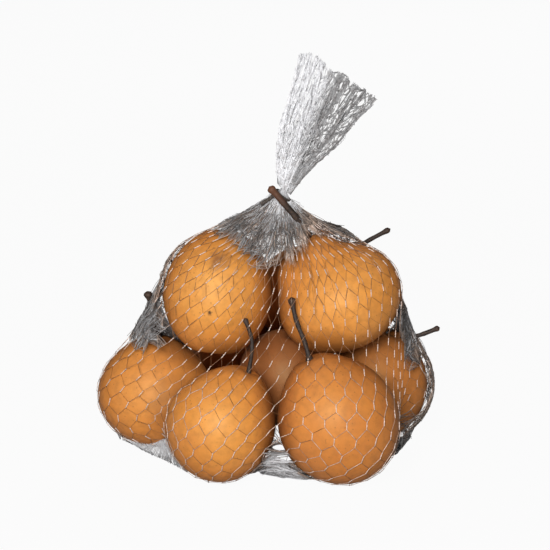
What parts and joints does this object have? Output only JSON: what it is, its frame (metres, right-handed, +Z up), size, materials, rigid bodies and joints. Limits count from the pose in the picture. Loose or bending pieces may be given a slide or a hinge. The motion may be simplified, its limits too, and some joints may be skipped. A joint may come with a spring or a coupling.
{
  "type": "net of pears",
  "caption": "Clear plastic net of round golden pears, closed at the neck by a twist tie, with the spare net fanned out above and stems poking through the mesh.",
  "frame": {"origin": "at floor level, under the middle of the bounding box", "axes": "+Z up through the tied neck, -Y towards the front of the heap, +X the way the fan of spare net leans"},
  "size_m": [0.1918, 0.1653, 0.2245],
  "materials": {
    "net": "clear to white plastic net, fine soft threads with a bright gloss",
    "pear_skin": "waxy golden orange pear skin with fine pale and brown specks",
    "stem": "dry near-black brown stem, rough bark",
    "tie": "dark brown-grey coated wire strip"
  },
  "bodies": {
    "root": {"net_bag": "net", "neck_tie": "tie", "stem_left": "stem", "stem_right": "stem", "stem_back": "stem", "stem_top": "stem"}
  },
  "joints": []
}
